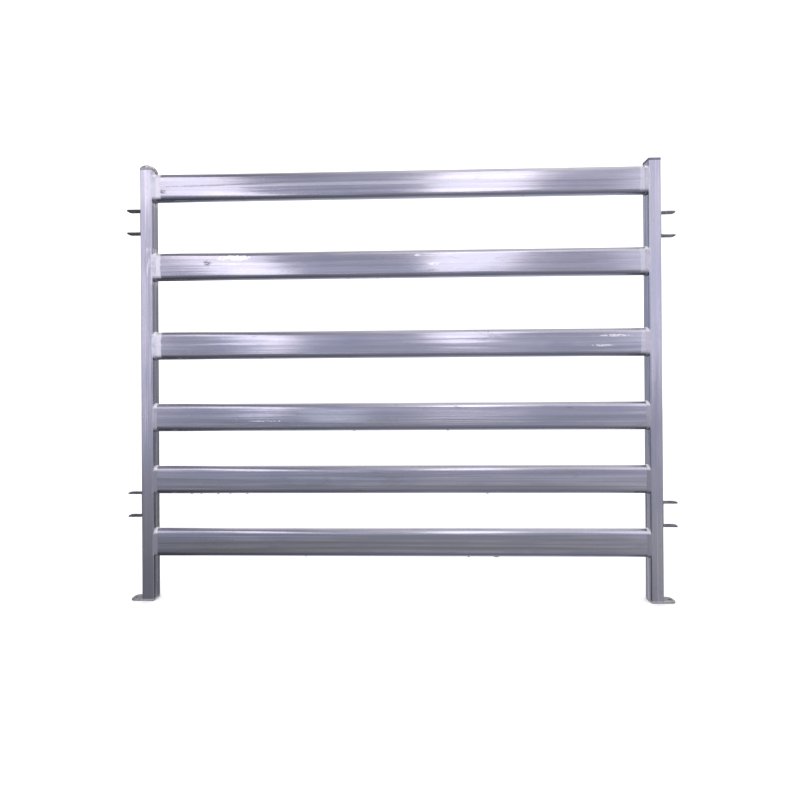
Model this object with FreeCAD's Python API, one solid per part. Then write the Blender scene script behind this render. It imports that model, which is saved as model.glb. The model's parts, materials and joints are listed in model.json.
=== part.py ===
"""Portable cattle-yard panel: six oval rails welded between two square posts.

Millimetres. +X runs along the rails, +Y is through the panel from front to back,
+Z is up. The origin is on the ground, midway between the posts.
"""
import FreeCAD, Part
import os

Vector = FreeCAD.Vector
UP = Vector(0, 0, 1)

# Driving dimensions
panel_height = 1800.0            # to the flat cap; the domed one stands a little higher
panel_width = 2134.0            # over the outer faces of the posts
post_size = 50.0
post_wall = 2.0
post_corner = 4.0
rail_height = 115.0
rail_depth = 42.0
rail_wall = 2.0
ground_clearance = 180.0
rail_gaps = [145.0, 145.0, 185.0, 215.0, 215.0]    # from the bottom gap upwards

lug_bar_width = 32.0
lug_bar_thickness = 5.0
lug_height = 100.0              # over both ears
lug_reach = 65.0                # from the post's face to the ear tips
lug_bend = 3.0                  # inside radius of the two folds
lug_tip_corner = 10.0
pin_reach = 36.0                # from the post's face to the pin's axis
pin_hole_radius = 7.0           # of the ground peg's hole too
left_lug_heights = {"upper": 1577.5, "lower": 395.0}
lug_drop_on_right = 40.0        # so that neighbouring panels' ears interleave

foot_thickness = 6.0
foot_reach = 51.0
foot_corner = 18.0
cap_thickness = 4.0
cap_edge_round = 1.0
cap_dome_crest = 18.0           # of the left cap, above the post's end
cap_dome_radius = 48.0

rail_weld_leg = 6.0             # out along the post's face
rail_weld_reach = 13.0          # out along the rail
foot_weld_proud = 1.6
foot_weld_height = 8.0
foot_weld_leg = 6.0
cap_weld_proud = 1.2
cap_weld_height = 6.0
bead_edge_round = 1.0
lug_weld_leg = 4.5
lug_weld_crown = 0.8

# Worked out from them
outer_face = panel_width / 2
inner_face = outer_face - post_size
post_axis = outer_face - post_size / 2
post_foot = foot_thickness
post_top = panel_height - cap_thickness
sides = {"left": -1, "right": 1}


def box(low, high):
    """A box between two opposite corners."""
    low, high = Vector(*low), Vector(*high)
    size = high - low
    return Part.makeBox(size.x, size.y, size.z, low)


def edges_along(shape, direction, wanted=lambda middle: True):
    """The straight edges parallel to a direction whose midpoints are wanted."""
    return [
        edge for edge in shape.Edges
        if isinstance(edge.Curve, Part.Line)
        and abs(edge.tangentAt(edge.FirstParameter).dot(direction)) > 0.999
        and wanted(edge.CenterOfMass)
    ]


def square_bar(size, corner, low, high):
    """An upright square bar with rounded corners, on the right-hand post's axis."""
    half = size / 2
    bar = box((post_axis - half, -half, low), (post_axis + half, half, high))
    return bar.makeFillet(corner, edges_along(bar, UP))


def oval_outline(x, depth, height):
    """A flat-sided oval in the YZ plane at x, centred on the rail's axis."""
    radius = depth / 2
    flat = height / 2 - radius
    front_low, front_high = Vector(x, -radius, -flat), Vector(x, -radius, flat)
    back_low, back_high = Vector(x, radius, -flat), Vector(x, radius, flat)
    outline = [
        Part.LineSegment(front_low, front_high),
        Part.Arc(front_high, Vector(x, 0, flat + radius), back_high),
        Part.LineSegment(back_high, back_low),
        Part.Arc(back_low, Vector(x, 0, -flat - radius), front_low),
    ]
    return Part.Wire([piece.toShape() for piece in outline])


def oval_bar(depth, height, start, end):
    """A solid oval bar along X."""
    return Part.Face(oval_outline(start, depth, height)).extrude(Vector(end - start, 0, 0))


def on_side(shape, side, height=0.0):
    """Place a shape made for the right-hand post on either post, at a height."""
    placed = shape.copy()
    if side == "left":
        placed.rotate(Vector(0, 0, 0), UP, 180)
    placed.translate(Vector(0, 0, height))
    return placed


post_envelope = square_bar(post_size, post_corner, post_foot, post_top)
rail_envelope = oval_bar(rail_depth, rail_height, -inner_face, inner_face)
# The post's outline again, for the welds that are first made round z = 0.
nearby_post = post_envelope.translated(Vector(0, 0, -panel_height / 2))


def post():
    """Square hollow section, open at both ends."""
    bore = square_bar(post_size - 2 * post_wall, post_corner - post_wall, post_foot, post_top)
    return post_envelope.cut(bore)


def rail():
    """Flat-sided oval tube, square cut to butt against the posts."""
    bore = oval_bar(rail_depth - 2 * rail_wall, rail_height - 2 * rail_wall,
                    -inner_face, inner_face)
    return rail_envelope.cut(bore)


def rail_weld():
    """Fillet bead round the rail's end that also fills the post's rounded corners."""
    wide = (rail_depth + 2 * rail_weld_leg, rail_height + 2 * rail_weld_leg)
    thin_edge = 0.4
    narrow = (rail_depth + 2 * thin_edge, rail_height + 2 * thin_edge)
    taper = Part.makeLoft([
        oval_outline(inner_face, *wide),
        oval_outline(inner_face - rail_weld_reach, *narrow),
    ], True, True)
    corner_fill = oval_bar(*wide, inner_face, inner_face + post_corner)
    flush = box((inner_face - rail_weld_reach, -post_size / 2, -rail_height),
                (inner_face + post_corner, post_size / 2, rail_height))
    bead = taper.fuse(corner_fill).common(flush)
    return bead.cut(rail_envelope).cut(nearby_post).removeSplitter()


def lug():
    """U bracket folded from flat bar: a web on the post and two ears with pin holes."""
    half_width = lug_bar_width / 2
    half_height = lug_height / 2
    web_face = outer_face + lug_bar_thickness
    tip = outer_face + lug_reach
    ear_inside = half_height - lug_bar_thickness
    bracket = box((outer_face, -half_width, -half_height), (tip, half_width, half_height))
    gap = box((web_face, -half_width, -ear_inside), (tip, half_width, ear_inside))
    across = Vector(0, 1, 0)
    gap = gap.makeFillet(lug_bend, edges_along(gap, across, lambda at: at.x < web_face + 1))
    bracket = bracket.makeFillet(
        lug_bend + lug_bar_thickness,
        edges_along(bracket, across, lambda at: at.x < outer_face + 1))
    bracket = bracket.makeFillet(
        lug_tip_corner, edges_along(bracket, UP, lambda at: at.x > tip - 1))
    pin_hole = Part.makeCylinder(
        pin_hole_radius, lug_height, Vector(outer_face + pin_reach, 0, -half_height))
    return bracket.cut(gap).cut(pin_hole)


def lug_weld():
    """Two upright beads between the lug's web and the post's outer face."""
    half_width = lug_bar_width / 2
    run = lug_height / 2 - lug_bend - lug_bar_thickness
    start = Vector(outer_face + lug_bar_thickness, half_width, -run)
    end = Vector(outer_face, half_width + lug_weld_leg, -run)
    root = Vector(outer_face, half_width, -run)
    crown = (start + end) / 2 + Vector(1, 1, 0).normalize() * lug_weld_crown
    outline = [
        Part.Arc(start, crown, end),
        Part.LineSegment(end, root),
        Part.LineSegment(root, start),
    ]
    section = Part.Face(Part.Wire([piece.toShape() for piece in outline]))
    bead = section.extrude(Vector(0, 0, 2 * run))
    mirrored = bead.mirror(Vector(0, 0, 0), Vector(0, 1, 0))
    return Part.makeCompound([bead, mirrored])


def foot_plate(tip_corner):
    """Plate under the post with a tongue beyond it, and no hole yet."""
    half = post_size / 2
    tip = outer_face + foot_reach
    plate = box((inner_face, -half, 0), (tip, half, foot_thickness))
    plate = plate.makeFillet(tip_corner, edges_along(plate, UP, lambda at: at.x > tip - 1))
    return plate.makeFillet(post_corner, edges_along(plate, UP, lambda at: at.x < inner_face + 1))


def foot():
    """Foot plate whose rounded tongue takes a ground peg."""
    peg_hole = Part.makeCylinder(
        pin_hole_radius, foot_thickness, Vector(outer_face + pin_reach, 0, 0))
    return foot_plate(foot_corner).cut(peg_hole)


def band(proud, low, high):
    """A weld band standing slightly proud all round the post."""
    ring = square_bar(post_size + 2 * proud, post_corner + proud, low, high)
    rims = [edge for edge in ring.Edges if edge.BoundBox.ZLength < 0.01]
    return ring.makeFillet(bead_edge_round, rims)


def foot_weld():
    """Band round the joint between post and foot plate, with a fillet on the tongue."""
    ring = band(foot_weld_proud, post_foot - foot_weld_height / 2,
                post_foot + foot_weld_height / 2)
    half = post_size / 2
    heel = outer_face - post_corner
    crest = post_foot + foot_weld_leg
    corners = [(heel, post_foot), (outer_face + foot_weld_leg, post_foot),
               (outer_face, crest), (heel, crest), (heel, post_foot)]
    outline = Part.makePolygon([Vector(x, -half, z) for x, z in corners])
    fillet = Part.Face(outline).extrude(Vector(0, post_size, 0))
    bead = ring.fuse(fillet).cut(post_envelope).cut(foot_plate(foot_corner))
    return bead.removeSplitter()


def flat_cap():
    """Flat plate that closes the right-hand post's top."""
    plate = square_bar(post_size, post_corner, post_top, panel_height)
    rim = [edge for edge in plate.Edges
           if edge.BoundBox.ZMin > panel_height - 0.01]
    return plate.makeFillet(cap_edge_round, rim)


def domed_cap():
    """Domed cap that closes the left-hand post's top, square at its rim."""
    crest = post_top + cap_dome_crest
    blank = square_bar(post_size, post_corner, post_top, crest)
    dome = Part.makeSphere(cap_dome_radius, Vector(post_axis, 0, crest - cap_dome_radius))
    return blank.common(dome)


def cap_weld():
    """Band round the joint between post and cap."""
    ring = band(cap_weld_proud, post_top - cap_weld_height / 2, post_top + cap_weld_height / 2)
    closed_post = square_bar(post_size, post_corner, post_foot, panel_height)
    return ring.cut(closed_post)


def rail_heights():
    """Heights of the rails' axes, from the top rail down."""
    heights = [ground_clearance + rail_height / 2]
    for gap in rail_gaps:
        heights.append(heights[-1] + rail_height + gap)
    return heights[::-1]


def all_nodes():
    """Every piece of the panel by name."""
    nodes = {}
    for number, height in enumerate(rail_heights(), start=1):
        nodes[f"rail_{number}"] = rail().translated(Vector(0, 0, height))
        for side in sides:
            nodes[f"rail_{number}_weld_{side}"] = on_side(rail_weld(), side, height)
    for side in sides:
        nodes[f"post_{side}"] = on_side(post(), side)
        nodes[f"cap_{side}"] = on_side(domed_cap() if side == "left" else flat_cap(), side)
        nodes[f"cap_{side}_weld"] = on_side(cap_weld(), side)
        nodes[f"foot_{side}"] = on_side(foot(), side)
        nodes[f"foot_{side}_weld"] = on_side(foot_weld(), side)
        for level, height in left_lug_heights.items():
            if side == "right":
                height -= lug_drop_on_right
            nodes[f"lug_{level}_{side}"] = on_side(lug(), side, height)
            nodes[f"lug_{level}_{side}_weld"] = on_side(lug_weld(), side, height)
    return nodes


os.makedirs("parts", exist_ok=True)
for name, shape in all_nodes().items():
    solids = shape.Solids
    volumes = ", ".join(f"{solid.Volume:.0f}" for solid in solids)
    print(f"{name}: {len(solids)} solid(s), valid {shape.isValid()}, volume {volumes} mm3")
    shape.exportStep(f"parts/{name}.step")
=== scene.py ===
import json
import math

import bmesh
import bpy
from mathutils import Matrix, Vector, noise


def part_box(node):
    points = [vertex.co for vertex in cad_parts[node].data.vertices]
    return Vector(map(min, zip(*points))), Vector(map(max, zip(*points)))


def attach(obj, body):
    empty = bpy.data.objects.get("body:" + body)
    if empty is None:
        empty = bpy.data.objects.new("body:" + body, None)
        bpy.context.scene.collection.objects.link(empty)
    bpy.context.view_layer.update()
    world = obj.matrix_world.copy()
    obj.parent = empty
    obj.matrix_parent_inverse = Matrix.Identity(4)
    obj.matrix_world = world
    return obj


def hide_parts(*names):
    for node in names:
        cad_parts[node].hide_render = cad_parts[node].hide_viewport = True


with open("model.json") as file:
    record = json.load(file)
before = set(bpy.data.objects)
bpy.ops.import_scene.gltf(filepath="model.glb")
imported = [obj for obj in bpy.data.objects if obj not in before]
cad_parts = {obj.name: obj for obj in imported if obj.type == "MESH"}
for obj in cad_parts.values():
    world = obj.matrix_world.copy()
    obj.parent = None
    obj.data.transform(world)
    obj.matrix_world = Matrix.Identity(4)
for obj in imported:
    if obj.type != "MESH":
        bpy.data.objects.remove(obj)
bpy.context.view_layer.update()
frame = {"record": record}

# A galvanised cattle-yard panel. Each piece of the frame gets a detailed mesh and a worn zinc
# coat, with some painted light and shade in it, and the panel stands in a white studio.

mounts = {mount["name"]: mount for mount in frame["record"]["mounts"]}
MM = 0.001
SIDES = {"left": -1, "right": 1}
RAILS = range(1, 7)                  # 1 is the top rail

# Sizes read from the frame, in metres. X values are those of the right-hand end.
post_low, post_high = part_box("post_right")
rail_low, rail_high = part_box("rail_1")
cap_low, cap_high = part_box("cap_right")
foot_low, foot_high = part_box("foot_right")
lug_low, lug_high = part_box("lug_upper_right")
inner_face, outer_face = post_low.x, post_high.x
post_half = post_high.y
rail_half_depth = rail_high.y
rail_half_height = (rail_high.z - rail_low.z) / 2
lug_half_width, lug_half_height = lug_high.y, (lug_high.z - lug_low.z) / 2
pin_hole = mounts["upper_right_lug_top_ear"]
peg_hole = mounts["right_foot_peg_hole"]
hole_radius = pin_hole["dims"]["r_mm"] * MM    # of the peg holes too
lug_thickness = pin_hole["dims"]["length_mm"] * MM
pin_x, peg_x = pin_hole["pos_m"][0], peg_hole["pos_m"][0]

# Sizes that a bounding box doesn't show
tube_wall = 2 * MM
post_corner = 4 * MM
foot_tip_corner = 18 * MM
lug_tip_corner = 10 * MM
lug_inside_bend = 3 * MM
rail_crown = 0.8 * MM                # how far the rail's flat sides bulge
dome_radius = 48 * MM
seam_half_width = 7 * MM
seam_rise = 1 * MM                   # of the seam above the middle of the rail's front
front_seams = {1: 0.45 * MM, 3: 0.25 * MM}    # how proud; on the other rails it faces back
bead_step = 1.1 * MM                 # spacing of the rings along a weld


# ---------------------------------------------------------------- mesh tools

def middle_height(node):
    """The height of the middle of a node's box."""
    low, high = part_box(node)
    return (low.z + high.z) / 2


def skin(rings, wrap=False):
    """Quads between neighbouring closed rings, and from the last to the first if wrap."""
    count = len(rings[0])
    pairs = [(k, k + 1) for k in range(len(rings) - 1)]
    if wrap:
        pairs.append((len(rings) - 1, 0))
    return [
        (a * count + i, a * count + (i + 1) % count, b * count + (i + 1) % count, b * count + i)
        for a, b in pairs
        for i in range(count)
    ]


def end_faces(rings):
    """One face across the first ring and one across the last."""
    count = len(rings[0])
    last = (len(rings) - 1) * count
    return [tuple(range(count)), tuple(range(last, last + count))]


def add_rings(points, faces, rings, closed=False):
    """Skin rings and add them to points and faces; closed adds a face at each end."""
    made = skin(rings)
    if closed:
        made += end_faces(rings)
    faces.extend([tuple(len(points) + i for i in face) for face in made])
    points.extend(p for ring in rings for p in ring)


def mesh_piece(name, points, faces):
    """A smooth-shaded mesh object with merged points and its sharper edges left sharp."""
    merge_distance = 0.002 * MM
    sharp_angle = math.radians(40)
    mesh = bpy.data.meshes.new(name)
    mesh.from_pydata([tuple(p) for p in points], [], faces)
    work = bmesh.new()
    work.from_mesh(mesh)
    bmesh.ops.remove_doubles(work, verts=work.verts, dist=merge_distance)
    bmesh.ops.recalc_face_normals(work, faces=work.faces)
    work.to_mesh(mesh)
    work.free()
    mesh.shade_smooth()
    mesh.set_sharp_from_angle(angle=sharp_angle)
    piece = bpy.data.objects.new(name, mesh)
    bpy.context.scene.collection.objects.link(piece)
    return piece


def ringed_piece(name, rings, wrap=False, closed=False):
    """A piece skinned over rings of points; closed adds a face at each end."""
    faces = skin(rings, wrap)
    if closed:
        faces += end_faces(rings)
    return mesh_piece(name, [p for ring in rings for p in ring], faces)


def place(piece, node, material):
    """Give a piece its material and let it stand for a CAD node."""
    piece.data.materials.append(material)
    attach(piece, "root")
    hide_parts(node)


def turned(points, side):
    """Points made for the right-hand end, on either end."""
    if side == "left":
        return [Vector((-p[0], -p[1], p[2])) for p in points]
    return [Vector(p) for p in points]


def between(start, end, steps):
    """Points strictly between two others, with one close to each of them."""
    close = 0.4 * MM / (end - start).length
    shares = [close] + [k / steps for k in range(1, steps)] + [1 - close]
    return [start.lerp(end, share) for share in shares]


def rounded_rectangle(x_low, x_high, half, corner_low, corner_high, inset=0.0,
                      arc_steps=6, side_steps=6):
    """2-D points round a rectangle with rounded corners, anticlockwise."""
    least = 0.3 * MM
    arcs = []
    for x, y, corner, first in ((x_high, -half, corner_high, -90), (x_high, half, corner_high, 0),
                                (x_low, half, corner_low, 90), (x_low, -half, corner_low, 180)):
        radius = max(corner - inset, least)
        inward = inset + radius
        centre = Vector((x + (inward if x == x_low else -inward),
                         y + (inward if y < 0 else -inward)))
        angles = [math.radians(first + 90 * k / arc_steps) for k in range(arc_steps + 1)]
        arcs.append([centre + radius * Vector((math.cos(a), math.sin(a))) for a in angles])
    ring = []
    for k, arc in enumerate(arcs):
        ring += arc + between(arc[-1], arcs[(k + 1) % 4][0], side_steps)
    return ring


def at_height(ring, z):
    """A 2-D ring as 3-D points at a height."""
    return [Vector((p.x, p.y, z)) for p in ring]


def rounded_edge(size, steps=3):
    """(inset, rise) pairs of a quarter-round edge, from the side face to the flat."""
    turns = [math.pi / 2 * k / steps for k in range(steps + 1)]
    return [(size * (1 - math.cos(a)), size * math.sin(a)) for a in turns]


# ------------------------------------------------------------------- shapes

def oval_ring(x, z, half_depth, half_height, crown, seam=0.0):
    """Points round a rail's section at x: two flats with a slight crown and two round ends.

    seam is the height of the tube's rolled weld seam along the middle of the front flat."""
    flat = half_height - half_depth
    arc_steps, flat_steps = 28, 36
    ring = []
    for first, start_y, middle in ((0, half_depth, flat), (180, -half_depth, -flat)):
        angles = [math.radians(first + 180 * k / arc_steps) for k in range(arc_steps + 1)]
        arc = [Vector((half_depth * math.cos(a), middle + half_depth * math.sin(a)))
               for a in angles]
        ring += arc + between(arc[-1], Vector((-start_y, -middle)), flat_steps)
    fall = crown / half_depth / (flat / half_height) ** 2
    points = []
    for p in ring:
        y = p.x * (1 - fall * (p.y / half_height) ** 2)
        if p.x < 0:
            off = min(abs(p.y - seam_rise) / seam_half_width, 1)
            y -= seam * (0.5 + 0.5 * math.cos(off * math.pi))
        points.append(Vector((x, y, z + p.y)))
    return points


def nib(centre, length, width, depth):
    """Rings of a small drop of solidified zinc, from its top down."""
    around, levels = 12, 7
    turns = [2 * math.pi * k / around for k in range(around)]
    rings = []
    for level in range(levels):
        drop = math.pi * (level + 0.5) / levels
        rings.append([
            centre + Vector((length / 2 * math.sin(drop) * math.cos(turn),
                             width / 2 * math.sin(drop) * math.sin(turn),
                             depth * math.cos(drop)))
            for turn in turns])
    return rings


# Drips left by the zinc bath under each rail: (share of the length, drip's length in mm)
ZINC_NIBS = {
    1: [(0.37, 7), (0.755, 9)],
    2: [(0.40, 8), (0.46, 5)],
    3: [(0.22, 6)],
    4: [(0.60, 9), (0.41, 6)],
    5: [(0.075, 9), (0.095, 5), (0.13, 8), (0.155, 5), (0.19, 7), (0.679, 8)],
    6: [(0.64, 8), (0.696, 22), (0.31, 5)],
}


def rail_piece(number):
    """An oval tube with its bore, and the zinc nibs on its lower edge."""
    low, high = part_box(f"rail_{number}")
    middle = (low.z + high.z) / 2
    stations = [low.x + (high.x - low.x) * k / 48 for k in range(49)]
    seam = front_seams.get(number, 0.0)
    outside = [oval_ring(x, middle, rail_half_depth, rail_half_height, rail_crown, seam)
               for x in stations]
    bore = [oval_ring(x, middle, rail_half_depth - tube_wall, rail_half_height - tube_wall,
                      rail_crown) for x in (stations[-1], stations[0])]
    rings = outside + bore
    points = [p for ring in rings for p in ring]
    faces = skin(rings, wrap=True)
    for share, length in ZINC_NIBS[number]:
        at = Vector((low.x + (high.x - low.x) * share, -0.35 * rail_half_depth,
                     low.z + 1.2 * MM))
        add_rings(points, faces, nib(at, length * MM, 5 * MM, 2.6 * MM), closed=True)
    return mesh_piece(f"rail_{number}_tube", points, faces)


def post_piece(side):
    """A square tube with rounded corners and its bore."""
    levels = [post_low.z + (post_high.z - post_low.z) * k / 40 for k in range(41)]
    outline = rounded_rectangle(inner_face, outer_face, post_half, post_corner, post_corner,
                                side_steps=10)
    bore = rounded_rectangle(inner_face + tube_wall, outer_face - tube_wall,
                             post_half - tube_wall, post_corner - tube_wall,
                             post_corner - tube_wall, side_steps=10)
    rings = [at_height(outline, z) for z in levels]
    rings += [at_height(bore, z) for z in levels[::-1]]
    return ringed_piece(f"post_{side}_tube", [turned(ring, side) for ring in rings], wrap=True)


def cap_ring(inset, z):
    """A post's outline, drawn in by an inset, at a height."""
    return at_height(rounded_rectangle(inner_face, outer_face, post_half, post_corner,
                                       post_corner, inset, side_steps=10), z)


def flat_cap_piece():
    """The plate on the right-hand post's top, its upper edge rounded."""
    edge = 1.2 * MM
    rings = [cap_ring(inset * MM, cap_low.z) for inset in (20, 12, 5)]
    rings.append(cap_ring(0, cap_low.z))
    rings += [cap_ring(inset, cap_high.z - edge + rise) for inset, rise in rounded_edge(edge, 4)]
    rings += [cap_ring(inset * MM, cap_high.z) for inset in (3, 7, 12, 17, 21)]
    return ringed_piece("cap_right_plate", rings, closed=True)


def domed_cap_piece():
    """The left-hand post's dome, hammered a little and lower at its outer edge."""
    low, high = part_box("cap_left")
    middle = (inner_face + outer_face) / 2
    crest = high.z - low.z - 0.3 * MM

    def on_dome(point):
        reach = math.hypot(point.x - middle, point.y)
        drop = dome_radius - math.sqrt(dome_radius ** 2 - reach ** 2)
        outward = max(0.0, (point.x - middle) / post_half) ** 2
        knocks = 0.5 * MM * noise.noise(Vector((point.x * 90, point.y * 90, 3.1)))
        height = low.z + crest - drop - 2.6 * MM * outward - abs(knocks)
        return Vector((point.x, point.y, max(height, low.z + 1.5 * MM)))

    skirt = cap_ring(0, low.z)
    rim = [on_dome(p) for p in skirt]
    rings = [cap_ring(inset * MM, low.z) for inset in (20, 12, 5)] + [skirt]
    rings += [[a.lerp(b, share) for a, b in zip(skirt, rim)] for share in (0.3, 0.6, 0.85)]
    # The rim is slightly rounded; the other rings lie on the dome, in towards its crest.
    for inset, rise in ((0.25, -0.5), (0.8, 0), (2, 0), (5, 0), (9, 0), (13, 0), (17, 0), (20, 0),
                        (22.5, 0)):
        ring = [on_dome(p) for p in cap_ring(inset * MM, low.z)]
        rings.append([Vector((p.x, p.y, p.z + rise * MM)) for p in ring])
    return ringed_piece("cap_left_plate", [turned(ring, "left") for ring in rings], closed=True)


def holed_plate(ring, hole, low, high, edge):
    """Rings of a plate with one hole; ring and hole give a 2-D outline for an inset."""
    upward = rounded_edge(edge)
    rings = [at_height(ring(inset), low + edge - rise) for inset, rise in upward[::-1]]
    rings += [at_height(ring(inset), high - edge + rise) for inset, rise in upward]
    rings += [at_height(hole(inset), high - edge + rise) for inset, rise in upward[::-1]]
    rings += [at_height(hole(inset), low + edge - rise) for inset, rise in upward]
    return rings


def round_hole(centre_x, radius, seen_from):
    """Points round a hole, one for each point of the outline seen from its centre."""
    angles = [math.atan2(p.y, p.x - centre_x) for p in seen_from]
    return [Vector((centre_x + radius * math.cos(a), radius * math.sin(a))) for a in angles]


def foot_piece(side):
    """The plate under a post, with its rounded tongue and peg hole."""
    def outline(inset):
        return rounded_rectangle(foot_low.x, foot_high.x, foot_high.y, post_corner,
                                 foot_tip_corner, inset, arc_steps=14, side_steps=12)

    def hole(inset):
        return round_hole(peg_x, hole_radius + inset, outline(0))

    edge = 0.9 * MM
    rings = holed_plate(outline, hole, foot_low.z, foot_high.z, edge)
    return ringed_piece(f"foot_{side}_plate", [turned(ring, side) for ring in rings], wrap=True)


def lug_piece(level, side):
    """Flat bar folded into a U, made as a flat pattern (s, y, t) and then bent."""
    half_t = lug_thickness / 2
    edge = 0.8 * MM
    fold = lug_inside_bend + lug_thickness
    fold_x = outer_face + fold
    mid_radius = lug_inside_bend + half_t
    ear = lug_high.x - fold_x
    turn = mid_radius * math.pi / 2
    web = 2 * (lug_half_height - fold)
    total = 2 * (ear + turn) + web
    root = ear - 1 * MM              # the ears' faces end just short of the folds
    hole_s = lug_high.x - pin_x
    columns, rows = 8, 60            # of the strip between the ears

    def half_outline(inset):
        """From the root's +y end round the tip to its -y end."""
        ring = rounded_rectangle(0, 2 * root, lug_half_width, lug_tip_corner, lug_tip_corner,
                                 inset, arc_steps=8, side_steps=6)
        kept = [p for p in ring if p.x < root - 0.5 * MM]
        wide = lug_half_width - inset
        return [Vector((root, wide))] + kept + [Vector((root, -wide))]

    strip_s = [root + (total - 2 * root) * k / rows for k in range(rows + 1)]

    def whole_outline(inset):
        wide = lug_half_width - inset
        first = half_outline(inset)
        last = [Vector((total - p.x, -p.y)) for p in first]
        lower = [Vector((s, -wide)) for s in strip_s[1:-1]]
        upper = [Vector((s, wide)) for s in strip_s[-2:0:-1]]
        return first + lower + last + upper

    def root_line(inset):
        wide = lug_half_width - inset
        return [Vector((root, -wide + 2 * wide * k / columns)) for k in range(1, columns)]

    points, faces = [], []
    # The rim all round the pattern
    upward = rounded_edge(edge)
    rim = [at_height(whole_outline(inset), -half_t + edge - rise) for inset, rise in upward[::-1]]
    rim += [at_height(whole_outline(inset), half_t - edge + rise) for inset, rise in upward]
    add_rings(points, faces, rim)
    # Both ears: flat faces from the rim to the hole, then the hole's wall
    for flip in (False, True):
        loop = half_outline(edge) + root_line(edge)
        around = round_hole(hole_s, hole_radius, loop)
        if flip:
            loop = [Vector((total - p.x, -p.y)) for p in loop]
            around = [Vector((total - p.x, -p.y)) for p in around]
        centre = Vector((total - hole_s if flip else hole_s, 0))

        def grown(by):
            return [centre + (p - centre) * (1 + by / hole_radius) for p in around]

        rings = [at_height(loop, -half_t)]
        rings += [at_height(grown(inset), -half_t + edge - rise) for inset, rise in upward[::-1]]
        rings += [at_height(grown(inset), half_t - edge + rise) for inset, rise in upward]
        rings.append(at_height(loop, half_t))
        add_rings(points, faces, rings)
    # The strip between the ears
    wide = lug_half_width - edge
    for t in (-half_t, half_t):
        base = len(points)
        for s in strip_s:
            points.extend(Vector((s, -wide + 2 * wide * k / columns, t))
                          for k in range(columns + 1))
        row = columns + 1
        faces.extend(
            (base + a * row + k, base + a * row + k + 1,
             base + (a + 1) * row + k + 1, base + (a + 1) * row + k)
            for a in range(rows) for k in range(columns))

    middle = middle_height(f"lug_{level}_{side}")

    def bent(point):
        """A point of the flat pattern on the folded bracket."""
        s, y, t = point
        if s > total / 2:
            mirror = -1
            s = total - s
        else:
            mirror = 1
        if s < ear:
            x, z = lug_high.x - s, lug_half_height - half_t + t
        elif s < ear + turn:
            angle = (s - ear) / mid_radius
            x = fold_x - (mid_radius + t) * math.sin(angle)
            z = lug_half_height - fold + (mid_radius + t) * math.cos(angle)
        else:
            x, z = outer_face + half_t - t, lug_half_height - fold - (s - ear - turn)
        return Vector((x, y, middle + mirror * z))

    return mesh_piece(f"lug_{level}_{side}_bracket", turned([bent(p) for p in points], side),
                      faces)


# -------------------------------------------------------------------- welds

def wander(at, seed, size):
    """Smooth noise from -1 to 1 along a length in metres, one bump every size mm."""
    return noise.noise(Vector((at / (size * MM), seed * 7.31, 1.7)))


def ripple(at, seed):
    """The stacked-coin ripple of a bead, about one each 4.5 mm and not quite even."""
    pitch = 4.5 * MM
    phase = at / pitch + 0.5 * wander(at, seed, 18)
    return abs(math.sin(math.pi * phase))


def along_loop(ring):
    """(point, outward normal, distance) at even steps round a closed, convex 2-D ring."""
    closed = ring + ring[:1]
    total = sum((b - a).length for a, b in zip(closed, closed[1:]))
    count = round(total / bead_step)
    step = total / count
    stops, walked, target = [], 0.0, 0.0
    for a, b in zip(closed, closed[1:]):
        span = (b - a).length
        while span > 0 and target < walked + span - 1e-9 and len(stops) < count:
            tangent = (b - a) / span
            stops.append((a + tangent * (target - walked), Vector((tangent.y, -tangent.x)),
                          target))
            target += step
        walked += span
    return stops


def bowed(start, end, bulge, steps=7):
    """2-D points from start to end, bulging sideways by a share of their distance."""
    across = Vector((end.y - start.y, start.x - end.x))
    points = []
    for k in range(steps + 1):
        share = k / steps
        points.append(start.lerp(end, share) + across * bulge * -4 * share * (1 - share))
    return points


def rail_weld_piece(number, side):
    """Rippled fillet round a rail's end, laid over the post's rounded corners."""
    middle = middle_height(f"rail_{number}")
    seed = number * 2 + SIDES[side]
    outline = oval_ring(0, 0, rail_half_depth, rail_half_height, rail_crown)
    rings = []
    for point, normal, at in along_loop([Vector((p.y, p.z)) for p in outline]):
        facing = abs(normal.x) ** 3
        leg = 1 + 0.10 * wander(at, seed, 26)
        toe = (8 + 6 * facing) * MM * leg * (1 + 0.04 * wander(at, seed + 40, 7))
        rise = (3.0 + 1.2 * facing) * MM * (1 + 0.06 * wander(at, seed + 80, 14))
        over = 4.6 * MM * facing
        crest = 0.08 + 0.02 * ripple(at, seed)
        start, end = Vector((-toe, 0.0)), Vector((over, rise))
        profile = bowed(start, end, crest)
        # The rest of the profile is hidden in the walls of the post and the rail.
        profile += [Vector((over + 0.2 * MM, rise - 1.4 * MM)),
                    Vector((0.4 * MM + 0.4 * over, 0.1 * rise)), Vector((-0.6 * toe, -0.7 * MM)),
                    Vector((-toe, -0.6 * MM))]
        rings.append([
            Vector((inner_face + p.x, point.x + normal.x * p.y,
                    middle + point.y + normal.y * p.y)) for p in profile])
    return ringed_piece(f"rail_{number}_bead_{side}", [turned(ring, side) for ring in rings],
                        wrap=True)


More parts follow.
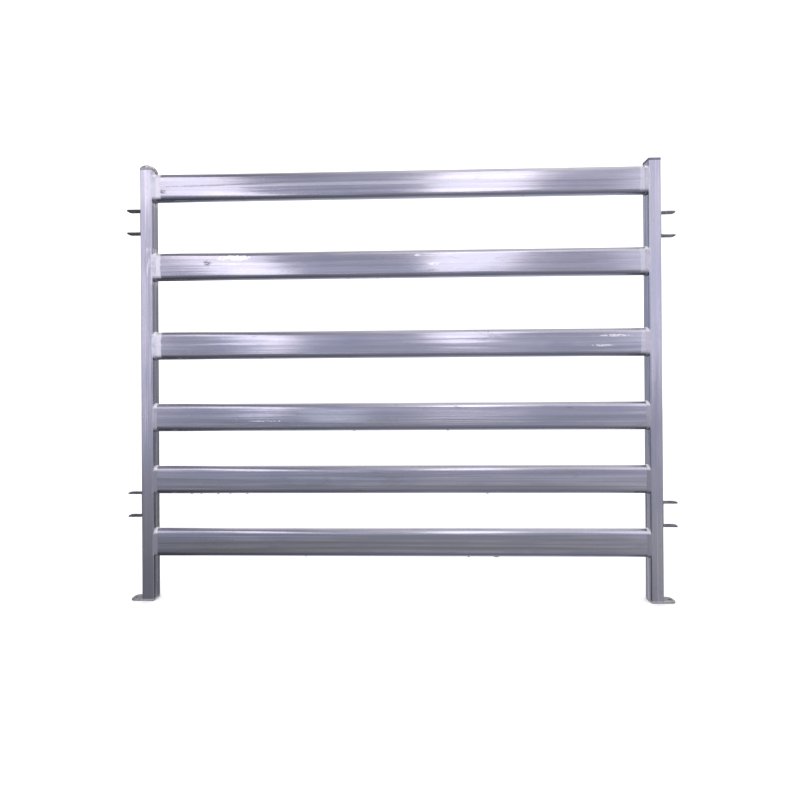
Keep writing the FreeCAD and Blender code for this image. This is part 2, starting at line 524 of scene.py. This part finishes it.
def cap_weld_piece(side):
    """Low rippled bead where the cap meets the post, broader under the dome."""
    seed = 31 + SIDES[side]
    # In mm: half the bead's height, and how far its middle is below the cap
    size, drop = (5.5, 3.2) if side == "left" else (4.6, 1.8)
    outline = rounded_rectangle(inner_face, outer_face, post_half, post_corner, post_corner)
    rings = []
    for point, normal, at in along_loop(outline):
        tall = size * MM * (1 + 0.15 * wander(at, seed, 11))
        proud = 1.0 * MM * (0.75 + 0.25 * ripple(at, seed)) * (1 + 0.2 * wander(at, seed + 9, 8))
        ring = []
        for k in range(9):
            turn = math.radians(-90 + 180 * k / 8)
            out = point + normal * proud * math.cos(turn)
            ring.append(Vector((out.x, out.y, cap_low.z - drop * MM + tall * math.sin(turn))))
        for rise in (0.6, -0.6):
            sunk = point - normal * 0.8 * MM
            ring.append(Vector((sunk.x, sunk.y, cap_low.z - drop * MM + tall * rise)))
        rings.append(ring)
    return ringed_piece(f"cap_{side}_bead", [turned(ring, side) for ring in rings], wrap=True)


def foot_weld_piece(side):
    """Bead between post and foot plate, a fillet where it lies on the tongue."""
    seed = 53 + SIDES[side]
    outline = rounded_rectangle(inner_face, outer_face, post_half, post_corner, post_corner)
    top = foot_high.z
    rings = []
    for point, normal, at in along_loop(outline):
        tongue = max(0.0, normal.x) ** 4
        proud = (1.05 + 4.2 * tongue) * MM * (1 + 0.15 * wander(at, seed, 12))
        rise = (4.0 + 1.6 * tongue) * MM * (1 + 0.12 * wander(at, seed + 5, 9))
        fall = 3.6 * MM * (1 - tongue)
        crest = 0.12 + 0.08 * ripple(at, seed)
        upper = bowed(Vector((0, rise)), Vector((proud, 0)), -crest, steps=6)
        lower = bowed(Vector((proud, 0)), Vector((0, -fall)), -crest, steps=4)[1:]
        profile = upper + lower + [Vector((-0.8 * MM, -fall * 0.7)),
                                   Vector((-0.8 * MM, rise * 0.8))]
        rings.append([Vector((point.x + normal.x * p.x, point.y + normal.y * p.x, top + p.y))
                      for p in profile])
    return ringed_piece(f"foot_{side}_bead", [turned(ring, side) for ring in rings], wrap=True)


def lug_weld_piece(level, side):
    """Two upright beads between a lug's web and the post's rounded corners."""
    middle = middle_height(f"lug_{level}_{side}")
    run = lug_half_height - lug_inside_bend - lug_thickness
    points, faces = [], []
    for hand in (1, -1):
        seed = 71 + 5 * hand + SIDES[side] + len(level)
        steps = round(2 * run / bead_step)
        rings = []
        for k in range(steps + 1):
            at = 2 * run * k / steps
            near_end = min(at, 2 * run - at) / (6 * MM)
            size = math.sqrt(max(0.04, 1 - (1 - min(1.0, near_end)) ** 2))
            size *= 1 + 0.08 * wander(at, seed, 13)
            crest = 0.13 + 0.07 * ripple(at, seed)
            centre = Vector((outer_face - 0.3 * MM, lug_half_width - 0.4 * MM))
            start = Vector((outer_face + 4.4 * MM, lug_half_width - 0.3 * MM))
            end = Vector((outer_face - 0.2 * MM, lug_half_width + 4.6 * MM))
            profile = bowed(start, end, crest) + [centre]
            section = [centre + (p - centre) * size for p in profile]
            rings.append([Vector((p.x, hand * p.y, middle - run + at)) for p in section])
        add_rings(points, faces, rings, closed=True)
    return mesh_piece(f"lug_{level}_{side}_beads", turned(points, side), faces)


# ---------------------------------------------------------------- materials

def feed(tree, socket, value):
    """Link a socket's source to it, or set its value."""
    if isinstance(value, bpy.types.NodeSocket):
        tree.links.new(value, socket)
    else:
        socket.default_value = value


def add_node(tree, kind, inputs=None, **settings):
    """A shader node with its settings, and its inputs linked or set."""
    made = tree.nodes.new("ShaderNode" + kind)
    for key, value in settings.items():
        setattr(made, key, value)
    for key, value in (inputs or {}).items():
        feed(tree, made.inputs[key], value)
    return made


def scaled(colour, factor):
    """A colour made darker or brighter, with no part of it above 1."""
    return tuple(min(1.0, factor * c) for c in colour)


class Shader:
    """A material's node tree, with short ways to add nodes and link them."""

    def __init__(self, name):
        self.material = bpy.data.materials.new(name)
        self.material.use_nodes = True
        self.tree = self.material.node_tree
        self.surface = self.tree.nodes["Principled BSDF"]
        self.place = self.node("TexCoord").outputs["Object"]

    def node(self, kind, inputs=None, **settings):
        return add_node(self.tree, kind, inputs, **settings)

    def stretched(self, scale):
        """Object coordinates times a scale for each axis."""
        return self.node("Mapping", {"Vector": self.place, "Scale": scale}).outputs[0]

    def noise(self, scale, detail=2.0, roughness=0.5, distortion=0.0):
        """Noise with its own scale on each axis, in cells per metre."""
        return self.node("TexNoise", {
            "Vector": self.stretched(scale), "Scale": 1.0, "Detail": detail,
            "Roughness": roughness, "Distortion": distortion}).outputs[0]

    def spangle(self, per_metre):
        """Flat patches of one shade each, like crystals in a zinc coat."""
        return self.node("TexVoronoi", {"Vector": self.place, "Scale": per_metre,
                                        "Randomness": 1.0}).outputs["Color"]

    def math(self, operation, first, second=0.0):
        return self.node("Math", {0: first, 1: second}, operation=operation).outputs[0]

    def joined(self, operation, values):
        """Several values joined into one by an operation, such as their product."""
        total = values[0]
        for value in values[1:]:
            total = self.math(operation, total, value)
        return total

    def ramp(self, value, low, high, to_low=0.0, to_high=1.0, kind="SMOOTHSTEP"):
        return self.node("MapRange", {
            "Value": value, "From Min": low, "From Max": high, "To Min": to_low,
            "To Max": to_high}, interpolation_type=kind).outputs[0]

    def mix(self, factor, first, second):
        """A colour mixed from first to second, which are colours or sockets."""
        inputs = {0: factor, 6: self.colour(first), 7: self.colour(second)}
        return self.node("Mix", inputs, data_type="RGBA").outputs[2]

    def blend(self, factor, first, second):
        """A number mixed from first to second."""
        return self.node("Mix", {0: factor, 2: first, 3: second}, data_type="FLOAT").outputs[0]

    @staticmethod
    def colour(value):
        """Three numbers as an opaque colour; anything else as it is."""
        return (*value, 1.0) if isinstance(value, tuple) and len(value) == 3 else value

    def split(self):
        """X, Y and Z of the object coordinates."""
        return self.node("SeparateXYZ", {0: self.place}).outputs

    def bump(self, height, distance, normal=None):
        """A normal tilted by a height pattern, on top of another one if given."""
        inputs = {"Height": height, "Distance": distance, "Strength": 1.0}
        if normal is not None:
            inputs["Normal"] = normal
        return self.node("Bump", inputs).outputs[0]

    def finish(self, colour, roughness, metallic, normal):
        """The material, with these four fed to its surface."""
        inputs = {"Base Color": self.colour(colour), "Roughness": roughness,
                  "Metallic": metallic, "Normal": normal}
        for key, value in inputs.items():
            feed(self.tree, self.surface.inputs[key], value)
        return self.material


def facing_up(shader, low, high, strength=1.0):
    """Rises to strength as a face's normal turns up, over a range of its Z component."""
    normal = shader.node("NewGeometry").outputs["Normal"]
    upward = shader.node("SeparateXYZ", {0: normal}).outputs[2]
    return shader.ramp(upward, low, high, 0.0, strength)


def above_underside(shader):
    """1 on faces that look level or up, 0 on those that look down."""
    return facing_up(shader, -0.75, -0.25)


def near_rails(shader, z, reach):
    """1 within reach of a rail's section, fading to 0 a little further on."""
    edge = rail_half_height + reach
    fade = 6 * MM
    masks = []
    for number in RAILS:
        off = shader.math("SUBTRACT", z, middle_height(f"rail_{number}"))
        masks.append(shader.ramp(shader.math("ABSOLUTE", off), edge, edge + fade, 1.0, 0.0))
    return shader.joined("MAXIMUM", masks)


# Marks on the rails' fronts: rail, start and end as shares of its length, height above its
# middle and half-height in mm, strength. The dark marks are stains, except the top rail's
# second one, a painted dark line where its seam shows in reflection.
STAINS_AND_SEAM_SHADE = [
    (1, 0.010, 0.032, -20, 10, 1.0), (1, 0.0, 0.17, 1, 3, 0.6), (2, 0.101, 0.125, 10, 14, 1.0),
    (4, 0.42, 0.52, -18, 16, 0.35), (4, 0.833, 0.853, 34, 5, 0.8), (5, 0.45, 0.52, -5, 24, 0.4),
    (5, 0.09, 0.15, -8, 18, 0.3), (6, 0.06, 0.18, 0, 36, 0.5), (6, 0.235, 0.255, -12, 9, 0.6)]
# Pale splashes, in the same columns: partly splashes of pale paint, partly painted highlights.
SPLASHES_AND_HIGHLIGHTS = [
    (2, 0.122, 0.212, 30, 14, 1.0), (2, 0.532, 0.55, 32, 6, 0.7), (2, 0.555, 0.59, -4, 7, 0.6),
    (3, 0.88, 0.935, -14, 6, 0.5), (3, 0.895, 0.975, 26, 6, 0.6), (4, 0.18, 0.28, -15, 4, 0.5)]


def marks(shader, places):
    """The strength of each long oval mark inside it, with ragged edges, and 0 elsewhere."""
    ragged = shader.ramp(shader.noise((90, 220, 220), detail=4), 0.35, 0.65, 0.0, 2.0, "LINEAR")
    length = rail_high.x - rail_low.x
    half_depth = 30 * MM
    masks = []
    for number, start, end, rise, half_height, strength in places:
        middle = Vector((rail_low.x + length * (start + end) / 2, -rail_half_depth,
                         middle_height(f"rail_{number}") + rise * MM))
        scale = Vector((2 / (length * (end - start)), 1 / half_depth, 1 / (half_height * MM)))
        spot = shader.node("Mapping", {"Vector": shader.place, "Location": -middle * scale,
                                       "Scale": scale}).outputs[0]
        depth = shader.node("TexGradient", {"Vector": spot}, gradient_type="SPHERICAL").outputs[1]
        worn = shader.math("MULTIPLY", depth, ragged)
        masks.append(shader.ramp(worn, 0.12, 0.50, 0.0, strength))
    return shader.joined("MAXIMUM", masks)


def painted_seam_sheen(shader):
    """Painted sheen along the top rail's rolled weld seam: a paler, duller strip, fading out
    towards its ends.
    """
    x, _, z = shader.split()
    off = shader.math("SUBTRACT", z, middle_height("rail_1") + seam_rise)
    strip = shader.ramp(shader.math("ABSOLUTE", off), 3 * MM, 10 * MM, 1.0, 0.0)
    left_end = shader.ramp(x, -0.72, -0.45)
    right_end = shader.ramp(x, 0.2, 0.7, 1.0, 0.0)
    return shader.joined("MULTIPLY", [strip, left_end, right_end])


def drawn_zinc(name, tint, grain, lined, touch_up_and_light, marked=False):
    """Galvanised tube: fine lines along it, soft spangle, stains, and touched-up ends.

    grain stretches the patterns along the tube, lined is how strongly the lines show,
    the touch-up function gives the mask of the pale paint, which also carries painted light,
    and marked adds the rails' own marks: stains, a painted dark line and a painted sheen along
    the top rail's seam, and pale splashes that are partly painted highlights."""
    shader = Shader(name)

    def along(fine, coarse):
        return tuple(coarse if axis == grain else fine for axis in "XYZ")

    lines = shader.noise(along(420, 1.2), detail=3)
    threads = shader.noise(along(170, 0.9), detail=2)
    streaks = shader.noise(along(62, 0.8), detail=3, roughness=0.55)
    waves = shader.noise(along(13, 0.9), detail=2)
    drift = shader.noise(along(30, 3.0), detail=3, distortion=0.3)
    cloud = shader.noise(along(9, 4), detail=3)
    spangle = shader.spangle(85)
    fine = shader.noise((900, 900, 900), detail=1)
    stain_and_shade = shader.ramp(shader.noise(along(30, 7), detail=5, distortion=1.2), 0.62, 0.74)
    speck = shader.ramp(shader.noise(along(140, 60), detail=2), 0.74, 0.80)
    # The mask of the pale paint; it also carries painted light, as the touch-ups grow with height.
    paint_and_light = touch_up_and_light(shader)
    if marked:
        # The marks add a painted dark line along the top rail's seam at its left end.
        stain_and_shade = shader.math("MAXIMUM", stain_and_shade, shader.math("MULTIPLY", marks(shader, STAINS_AND_SEAM_SHADE), 2.2))
        # The seam's pale strip is a painted highlight, laid into the paint's mask.
        paint_and_light = shader.math("MAXIMUM", paint_and_light, shader.math("MULTIPLY", painted_seam_sheen(shader), 0.42))
        # Pale splashes, partly painted highlights.
        splash_and_highlight = marks(shader, SPLASHES_AND_HIGHLIGHTS)

    colour = shader.mix(shader.ramp(streaks, 0.32, 0.68), scaled(tint, 1 - 0.24 * lined),
                        scaled(tint, 1 + 0.16 * lined))
    colour = shader.mix(shader.ramp(threads, 0.32, 0.60, 0.45 * lined, 0.0), colour,
                        scaled(tint, 0.76))
    colour = shader.mix(shader.math("MULTIPLY", spangle, 0.22), colour, scaled(tint, 0.9))
    colour = shader.mix(shader.ramp(cloud, 0.40, 0.70, 0.0, 0.75), colour,
                        tuple(c * s for c, s in zip(tint, (0.80, 0.83, 0.87))))
    colour = shader.mix(shader.math("MULTIPLY", stain_and_shade, 0.30), colour, (0.25, 0.24, 0.24))
    colour = shader.mix(shader.math("MULTIPLY", speck, 0.5), colour, (0.22, 0.21, 0.22))
    paint_and_light_colour = shader.mix(fine, (0.64, 0.62, 0.70), (0.72, 0.70, 0.78))
    colour = shader.mix(paint_and_light, colour, paint_and_light_colour)
    if marked:
        colour = shader.mix(splash_and_highlight, colour, (0.80, 0.79, 0.81))

    rough = shader.math("ADD", 0.11, shader.math("MULTIPLY", drift, 0.14))
    rough = shader.math("ADD", rough, shader.math("MULTIPLY", spangle, 0.03))
    rough = shader.math("ADD", rough, shader.math("MULTIPLY", stain_and_shade, 0.12))
    rough = shader.blend(paint_and_light, rough, 0.46)
    metal = shader.blend(paint_and_light, 1.0, 0.55)
    if marked:
        metal = shader.blend(splash_and_highlight, metal, 0.15)

    normal = shader.bump(waves, 2.2 * MM)
    normal = shader.bump(streaks, 1.0 * lined * MM, normal)
    normal = shader.bump(threads, 0.13 * lined * MM, normal)
    normal = shader.bump(drift, 0.40 * MM, normal)
    normal = shader.bump(lines, 0.012 * MM, normal)
    return shader.finish(colour, rough, metal, normal)


def rail_touch_up_and_light(shader):
    """Pale paint on the last part of each rail, none underneath; it runs wider on the upper rails,
    partly as painted light.
    """
    x, _, z = shader.split()
    from_end = shader.math("SUBTRACT", inner_face, shader.math("ABSOLUTE", x))
    wobble = shader.math("MULTIPLY", shader.noise((30, 30, 30), detail=2), 12 * MM)
    # Wider higher up: partly painted light, for the upper rails' ends catch more of it.
    width = shader.ramp(z, 0.70, 1.0, 4 * MM, 34 * MM, "LINEAR")
    edge = shader.math("SUBTRACT", shader.math("ADD", from_end, wobble), width)
    inside = shader.ramp(edge, 0.0, 8 * MM, 1.0, 0.0)
    strength = shader.ramp(x, -0.5, 0.5, 1.0, 0.45)
    return shader.joined("MULTIPLY", [strength, above_underside(shader), inside])


def post_touch_up_and_light(shader):
    """Pale paint beside each rail's weld, stronger higher up, which is partly painted light, and
    smeared down the left post by the top two.
    """
    x, _, z = shader.split()
    smear = shader.noise((80, 80, 9), detail=2)
    from_inside = shader.math("SUBTRACT", shader.math("ABSOLUTE", x), inner_face)
    wobble = shader.math("MULTIPLY", smear, 16 * MM)
    beside = shader.ramp(shader.math("ADD", from_inside, wobble), 9 * MM, 17 * MM, 1.0, 0.0)
    # Stronger higher up: partly painted light.
    strength = shader.ramp(z, 0.6, 1.3, 0.15, 0.7, "LINEAR")
    weld_side = shader.joined("MULTIPLY", [beside, strength, near_rails(shader, z, -10 * MM)])
    patch = shader.ramp(smear, 0.47, 0.60)
    inner_half = shader.ramp(from_inside, 20 * MM, 28 * MM, 1.0, 0.0)
    upper = shader.ramp(z, 1.25, 1.38)
    left = shader.ramp(x, -0.5, 0.5, 0.8, 0.0)
    smeared = shader.joined("MULTIPLY", [patch, inner_half, upper, left,
                                         near_rails(shader, z, 16 * MM)])
    return shader.math("MAXIMUM", weld_side, smeared)


def dull_plate(name, dark, light, metallic=1.0, blotches=38):
    """Dull galvanised plate: zinc with so many blotches to a metre, scuffs, and a gritty skin."""
    shader = Shader(name)
    blotch = shader.noise((blotches, blotches, blotches), detail=5, roughness=0.6)
    grit = shader.noise((420, 420, 420), detail=3)
    scuff = shader.ramp(shader.noise((30, 160, 160), detail=4, distortion=0.6), 0.56, 0.72)
    bare = shader.ramp(shader.noise((90, 90, 90), detail=4), 0.60, 0.70)
    colour = shader.mix(shader.ramp(blotch, 0.3, 0.7), dark, light)
    colour = shader.mix(shader.math("MULTIPLY", scuff, 0.35), colour, scaled(light, 1.6))
    colour = shader.mix(shader.math("MULTIPLY", bare, 0.4), colour, scaled(dark, 0.6))
    rough = shader.math("ADD", 0.34, shader.math("MULTIPLY", blotch, 0.22))
    rough = shader.math("SUBTRACT", rough, shader.math("MULTIPLY", scuff, 0.10))
    normal = shader.bump(blotch, 0.25 * MM)
    normal = shader.bump(grit, 0.05 * MM, normal)
    return shader.finish(colour, rough, metallic, normal)


def weld_zinc(name, dark, light, metallic):
    """Weld metal under zinc paint, paler on the upper welds, partly as painted light, with a
    painted highlight on tops and painted shade beneath.
    """
    shader = Shader(name)
    blotch = shader.noise((60, 60, 60), detail=3)
    grit = shader.noise((350, 350, 350), detail=2)
    speck = shader.ramp(shader.noise((220, 220, 220), detail=2), 0.74, 0.80)
    z = shader.split()[2]
    # Paler the higher the weld: partly painted light.
    height = shader.ramp(z, 0.55, 1.05, 0.0, 1.0, "LINEAR")
    colour = shader.mix(height, dark, light)
    colour = shader.mix(shader.ramp(blotch, 0.4, 0.8, 0.0, 0.4), colour, dark)
    colour = shader.mix(shader.math("MULTIPLY", speck, 0.5), colour, (0.30, 0.29, 0.31))
    # Painted shade on faces that look down.
    colour = shader.mix(above_underside(shader), (0.12, 0.12, 0.15), colour)
    # Painted highlight on faces that look up.
    colour = shader.mix(facing_up(shader, 0.1, 0.6, 0.8), colour, (0.78, 0.77, 0.82))
    rough = shader.math("ADD", 0.36, shader.math("MULTIPLY", blotch, 0.20))
    normal = shader.bump(blotch, 0.12 * MM)
    normal = shader.bump(grit, 0.015 * MM, normal)
    return shader.finish(colour, rough, metallic, normal)


def pale_floor():
    """A plain studio floor, with the faintest unevenness."""
    shader = Shader("studio_floor")
    cloud = shader.noise((1.5, 1.5, 1.5), detail=3)
    colour = shader.mix(cloud, (0.90, 0.90, 0.90), (0.93, 0.93, 0.93))
    grit = shader.bump(shader.noise((300, 300, 300)), 0.05 * MM)
    return shader.finish(colour, shader.blend(cloud, 0.75, 0.85), 0.0, grit)


# ------------------------------------------------------------------- pieces

rail_metal = drawn_zinc("galvanised_rail", (0.60, 0.59, 0.66), grain="X", lined=1.0,
                        touch_up_and_light=rail_touch_up_and_light, marked=True)
post_metal = drawn_zinc("galvanised_post", (0.56, 0.55, 0.62), grain="Z", lined=0.55,
                        touch_up_and_light=post_touch_up_and_light)
# One dull bar for all four lugs in three brightnesses: painted shade on the dark left-hand ones,
# painted light on the lighter right-hand ones.
shaded_bar = dull_plate("shaded_lug_bar", (0.10, 0.10, 0.11), (0.19, 0.19, 0.20))
lug_metal = {
    "upper_left": shaded_bar,
    "lower_left": shaded_bar,
    "upper_right": dull_plate("lit_lug_bar", (0.28, 0.26, 0.30), (0.46, 0.44, 0.50)),
    "lower_right": dull_plate("grey_lug_bar", (0.15, 0.14, 0.17), (0.28, 0.27, 0.31))}
foot_metal = dull_plate("scuffed_foot_plate", (0.24, 0.24, 0.24), (0.50, 0.50, 0.50),
                        metallic=0.75)
cap_metal = dull_plate("dull_cap_plate", (0.17, 0.16, 0.20), (0.30, 0.28, 0.34))
dome_metal = dull_plate("mottled_dome", (0.08, 0.08, 0.07), (0.78, 0.77, 0.78),
                        metallic=0.5, blotches=70)
bead_metal = {
    "left": weld_zinc("weld_under_zinc", (0.20, 0.20, 0.25), (0.55, 0.545, 0.65), 0.35),
    "right": weld_zinc("weld_thinly_coated", (0.21, 0.21, 0.26), (0.45, 0.44, 0.52), 0.4)}
base_bead_metal = weld_zinc("weld_bare_zinc", (0.36, 0.36, 0.37), (0.50, 0.49, 0.54), 0.9)
cap_bead_metal = {
    "left": weld_zinc("weld_under_dome", (0.20, 0.20, 0.20), (0.40, 0.39, 0.41), 0.9),
    "right": weld_zinc("weld_under_plate", (0.16, 0.15, 0.19), (0.24, 0.22, 0.29), 0.9)}

for number in RAILS:
    place(rail_piece(number), f"rail_{number}", rail_metal)
    for side in SIDES:
        place(rail_weld_piece(number, side), f"rail_{number}_weld_{side}",
              bead_metal[side])
for side in SIDES:
    place(post_piece(side), f"post_{side}", post_metal)
    place(cap_weld_piece(side), f"cap_{side}_weld", cap_bead_metal[side])
    place(foot_piece(side), f"foot_{side}", foot_metal)
    place(foot_weld_piece(side), f"foot_{side}_weld", base_bead_metal)
    for level in ("upper", "lower"):
        place(lug_piece(level, side), f"lug_{level}_{side}",
              lug_metal[f"{level}_{side}"])
        place(lug_weld_piece(level, side), f"lug_{level}_{side}_weld",
              base_bead_metal)
place(domed_cap_piece(), "cap_left", dome_metal)
place(flat_cap_piece(), "cap_right", cap_metal)


# -------------------------------------------------------------------- stage

def studio_floor():
    """A wide floor just under the feet, which the zinc doesn't reflect."""
    half = 15.0
    below = 0.2 * MM
    corners = [(-half, -half), (half, -half), (half, half), (-half, half)]
    mesh = bpy.data.meshes.new("studio_floor")
    mesh.from_pydata([(x, y, -below) for x, y in corners], [], [(0, 1, 2, 3)])
    floor = bpy.data.objects.new("studio_floor", mesh)
    bpy.context.scene.collection.objects.link(floor)
    mesh.materials.append(pale_floor())
    floor.visible_glossy = False


def studio_world():
    """White to look at and to light the floor by; for reflections, a room.

    The room is lavender at eye level, dark towards the floor and white behind the panel.
    Higher up it is dark on the left and white on the right, and far out to either side it
    has walls of its own."""
    world = bpy.data.worlds.new("studio")
    bpy.context.scene.world = world
    world.use_nodes = True
    tree = world.node_tree
    tree.nodes.clear()

    def node(kind, inputs=None, **settings):
        return add_node(tree, kind, inputs, **settings)

    def round_the_rails(stops):
        """Colours by angle about the rails: 0 is forward, 90 overhead, -90 the floor."""
        ramp = node("ValToRGB", {0: turn})
        band = ramp.color_ramp
        band.interpolation = "EASE"
        while len(band.elements) < len(stops):
            band.elements.new(0.5)
        for element, (angle, colour) in zip(band.elements, stops):
            element.position = 0.5 + angle / 360
            element.color = (*colour, 1.0)
        return ramp.outputs[0]

    direction = node("TexCoord").outputs["Generated"]
    axes = node("SeparateXYZ", {0: direction}).outputs
    forward = node("Math", {0: axes[1], 1: -1.0}, operation="MULTIPLY").outputs[0]
    angle = node("Math", {0: axes[2], 1: forward}, operation="ARCTAN2").outputs[0]
    turn = node("MapRange", {"Value": angle, "From Min": -math.pi, "From Max": math.pi}).outputs[0]
    below_left = [
        (-180, (0.90, 0.90, 0.94)), (-150, (0.85, 0.85, 0.90)), (-115, (0.48, 0.49, 0.55)),
        (-88, (0.15, 0.15, 0.20)), (-64, (0.10, 0.10, 0.14)), (-46, (0.21, 0.22, 0.22)),
        (-24, (0.25, 0.255, 0.24)), (-19, (0.28, 0.28, 0.31)), (-11, (0.36, 0.385, 0.46)),
        (-3, (0.43, 0.465, 0.585)), (6, (0.46, 0.49, 0.63)), (16, (0.42, 0.44, 0.58))]
    below_right = [
        (-180, (0.90, 0.90, 0.94)), (-150, (0.90, 0.90, 0.95)), (-115, (0.68, 0.70, 0.78)),
        (-88, (0.32, 0.34, 0.42)), (-64, (0.22, 0.23, 0.30)), (-46, (0.26, 0.27, 0.33)),
        (-25, (0.33, 0.33, 0.35)), (-19, (0.345, 0.34, 0.34)), (-11, (0.41, 0.42, 0.49)),
        (-3, (0.49, 0.50, 0.61)), (6, (0.51, 0.52, 0.64)), (16, (0.47, 0.48, 0.60))]
    above_left = [(27, (0.42, 0.43, 0.55)), (36, (0.20, 0.20, 0.25)), (52, (0.13, 0.13, 0.17)),
                  (72, (0.22, 0.22, 0.26)), (90, (0.55, 0.54, 0.59)), (110, (0.95, 0.95, 0.97)),
                  (180, (0.90, 0.90, 0.94))]
    above_right = [(27, (0.57, 0.56, 0.66)), (38, (0.85, 0.83, 0.92)), (60, (1.0, 0.98, 1.0)),
                   (120, (0.95, 0.95, 0.97)), (180, (0.90, 0.90, 0.94))]
    beside_left = round_the_rails([
        (-180, (0.22, 0.25, 0.34)), (-168, (0.14, 0.15, 0.20)), (-150, (0.06, 0.06, 0.08)),
        (-90, (0.03, 0.03, 0.05)), (-46, (0.10, 0.11, 0.12)), (-19, (0.27, 0.27, 0.29)),
        (-3, (0.46, 0.48, 0.60)), (16, (0.52, 0.51, 0.62)), (45, (0.70, 0.66, 0.72)),
        (90, (0.30, 0.29, 0.34)), (140, (0.18, 0.18, 0.24)), (165, (0.24, 0.29, 0.44)),
        (180, (0.22, 0.25, 0.34))])
    beside_right = round_the_rails([
        (-180, (0.22, 0.23, 0.26)), (-168, (0.11, 0.11, 0.12)), (-145, (0.04, 0.04, 0.05)),
        (-90, (0.05, 0.05, 0.07)), (-46, (0.34, 0.34, 0.37)), (-19, (0.52, 0.52, 0.56)),
        (-3, (0.55, 0.56, 0.68)), (16, (0.55, 0.55, 0.68)), (45, (0.92, 0.90, 0.96)),
        (95, (0.95, 0.94, 0.98)), (140, (0.75, 0.74, 0.80)), (165, (0.28, 0.28, 0.32)),
        (180, (0.22, 0.23, 0.26))])
    to_right = node("MapRange", {"Value": axes[0], "From Min": -0.42, "From Max": 0.12},
                    interpolation_type="SMOOTHSTEP").outputs[0]
    middle = node("Mix", {0: to_right, 6: round_the_rails(below_left + above_left),
                          7: round_the_rails(below_right + above_right)},
                  data_type="RGBA").outputs[2]
    sides = node("Mix", {0: to_right, 6: beside_left, 7: beside_right},
                 data_type="RGBA").outputs[2]
    sideways = node("Math", {0: axes[0]}, operation="ABSOLUTE").outputs[0]
    beside = node("MapRange", {"Value": sideways, "From Min": 0.37, "From Max": 0.45},
                  interpolation_type="SMOOTHSTEP").outputs[0]
    room = node("Mix", {0: beside, 6: middle, 7: sides}, data_type="RGBA").outputs[2]
    rays = node("LightPath").outputs
    reflected = node("Background", {"Color": room, "Strength": 1.0}).outputs[0]
    plain = node("Background", {"Color": (1.0, 1.0, 1.0, 1.0), "Strength": 1.35}).outputs[0]
    seen = node("MixShader", {0: rays["Is Glossy Ray"], 1: plain, 2: reflected}).outputs[0]
    node("OutputWorld", {"Surface": seen})


def softbox(name, x, z, size, radiance, colour, lean=0):
    """An upright oval light panel facing the object, its top leaning right by some degrees."""
    width, height = size
    area = math.pi / 4 * width * height
    distance = 2.5
    light = bpy.data.lights.new(name, "AREA")
    light.shape = "ELLIPSE"
    light.size, light.size_y = width, height
    light.energy = radiance * math.pi * area
    light.color = colour
    lamp = bpy.data.objects.new(name, light)
    bpy.context.scene.collection.objects.link(lamp)
    lamp.location = (x, -distance, z)
    lamp.rotation_euler = (math.radians(90), math.radians(lean), 0)
    lamp.visible_camera = False


def photo_camera():
    """Close and wide-angled, at about half the panel's height and almost square on to it."""
    data = bpy.data.cameras.new("camera")
    data.lens = 20.7
    data.shift_y = -0.0173
    data.clip_start = 0.05
    camera = bpy.data.objects.new("camera", data)
    bpy.context.scene.collection.objects.link(camera)
    camera.location = (0.056, -1.905, 0.880)
    camera.rotation_euler = (math.radians(90.09), math.radians(0.37), math.radians(1.463))
    bpy.context.scene.camera = camera


studio_floor()
studio_world()
# The keys show as bright bands on the upper rails, the low ones as a sheen on the fourth
# rail, and the walls on the posts and the rails' ends.
softbox("key_left", -1.92, 2.64, (0.79, 3.6), 1.30, (1.0, 0.93, 0.96), lean=-26.5)
softbox("key_right", 0.76, 2.95, (0.98, 3.45), 1.31, (1.0, 0.94, 0.97), lean=10)
softbox("low_left", -1.37, 0.79, (0.46, 0.34), 1.00, (1.0, 0.94, 1.0))
softbox("low_middle", -0.70, 0.60, (0.55, 0.32), 0.72, (0.90, 0.95, 1.0))
softbox("low_right", 0.65, 0.64, (1.1, 0.28), 0.56, (1.0, 0.96, 1.0))
softbox("wall_left", -3.1, 1.85, (1.3, 3.5), 0.63, (1.0, 0.94, 1.0))
softbox("wall_right", 2.9, 2.2, (1.8, 3.0), 0.55, (0.95, 0.93, 1.0))
photo_camera()
bpy.context.scene.view_settings.view_transform = "Standard"
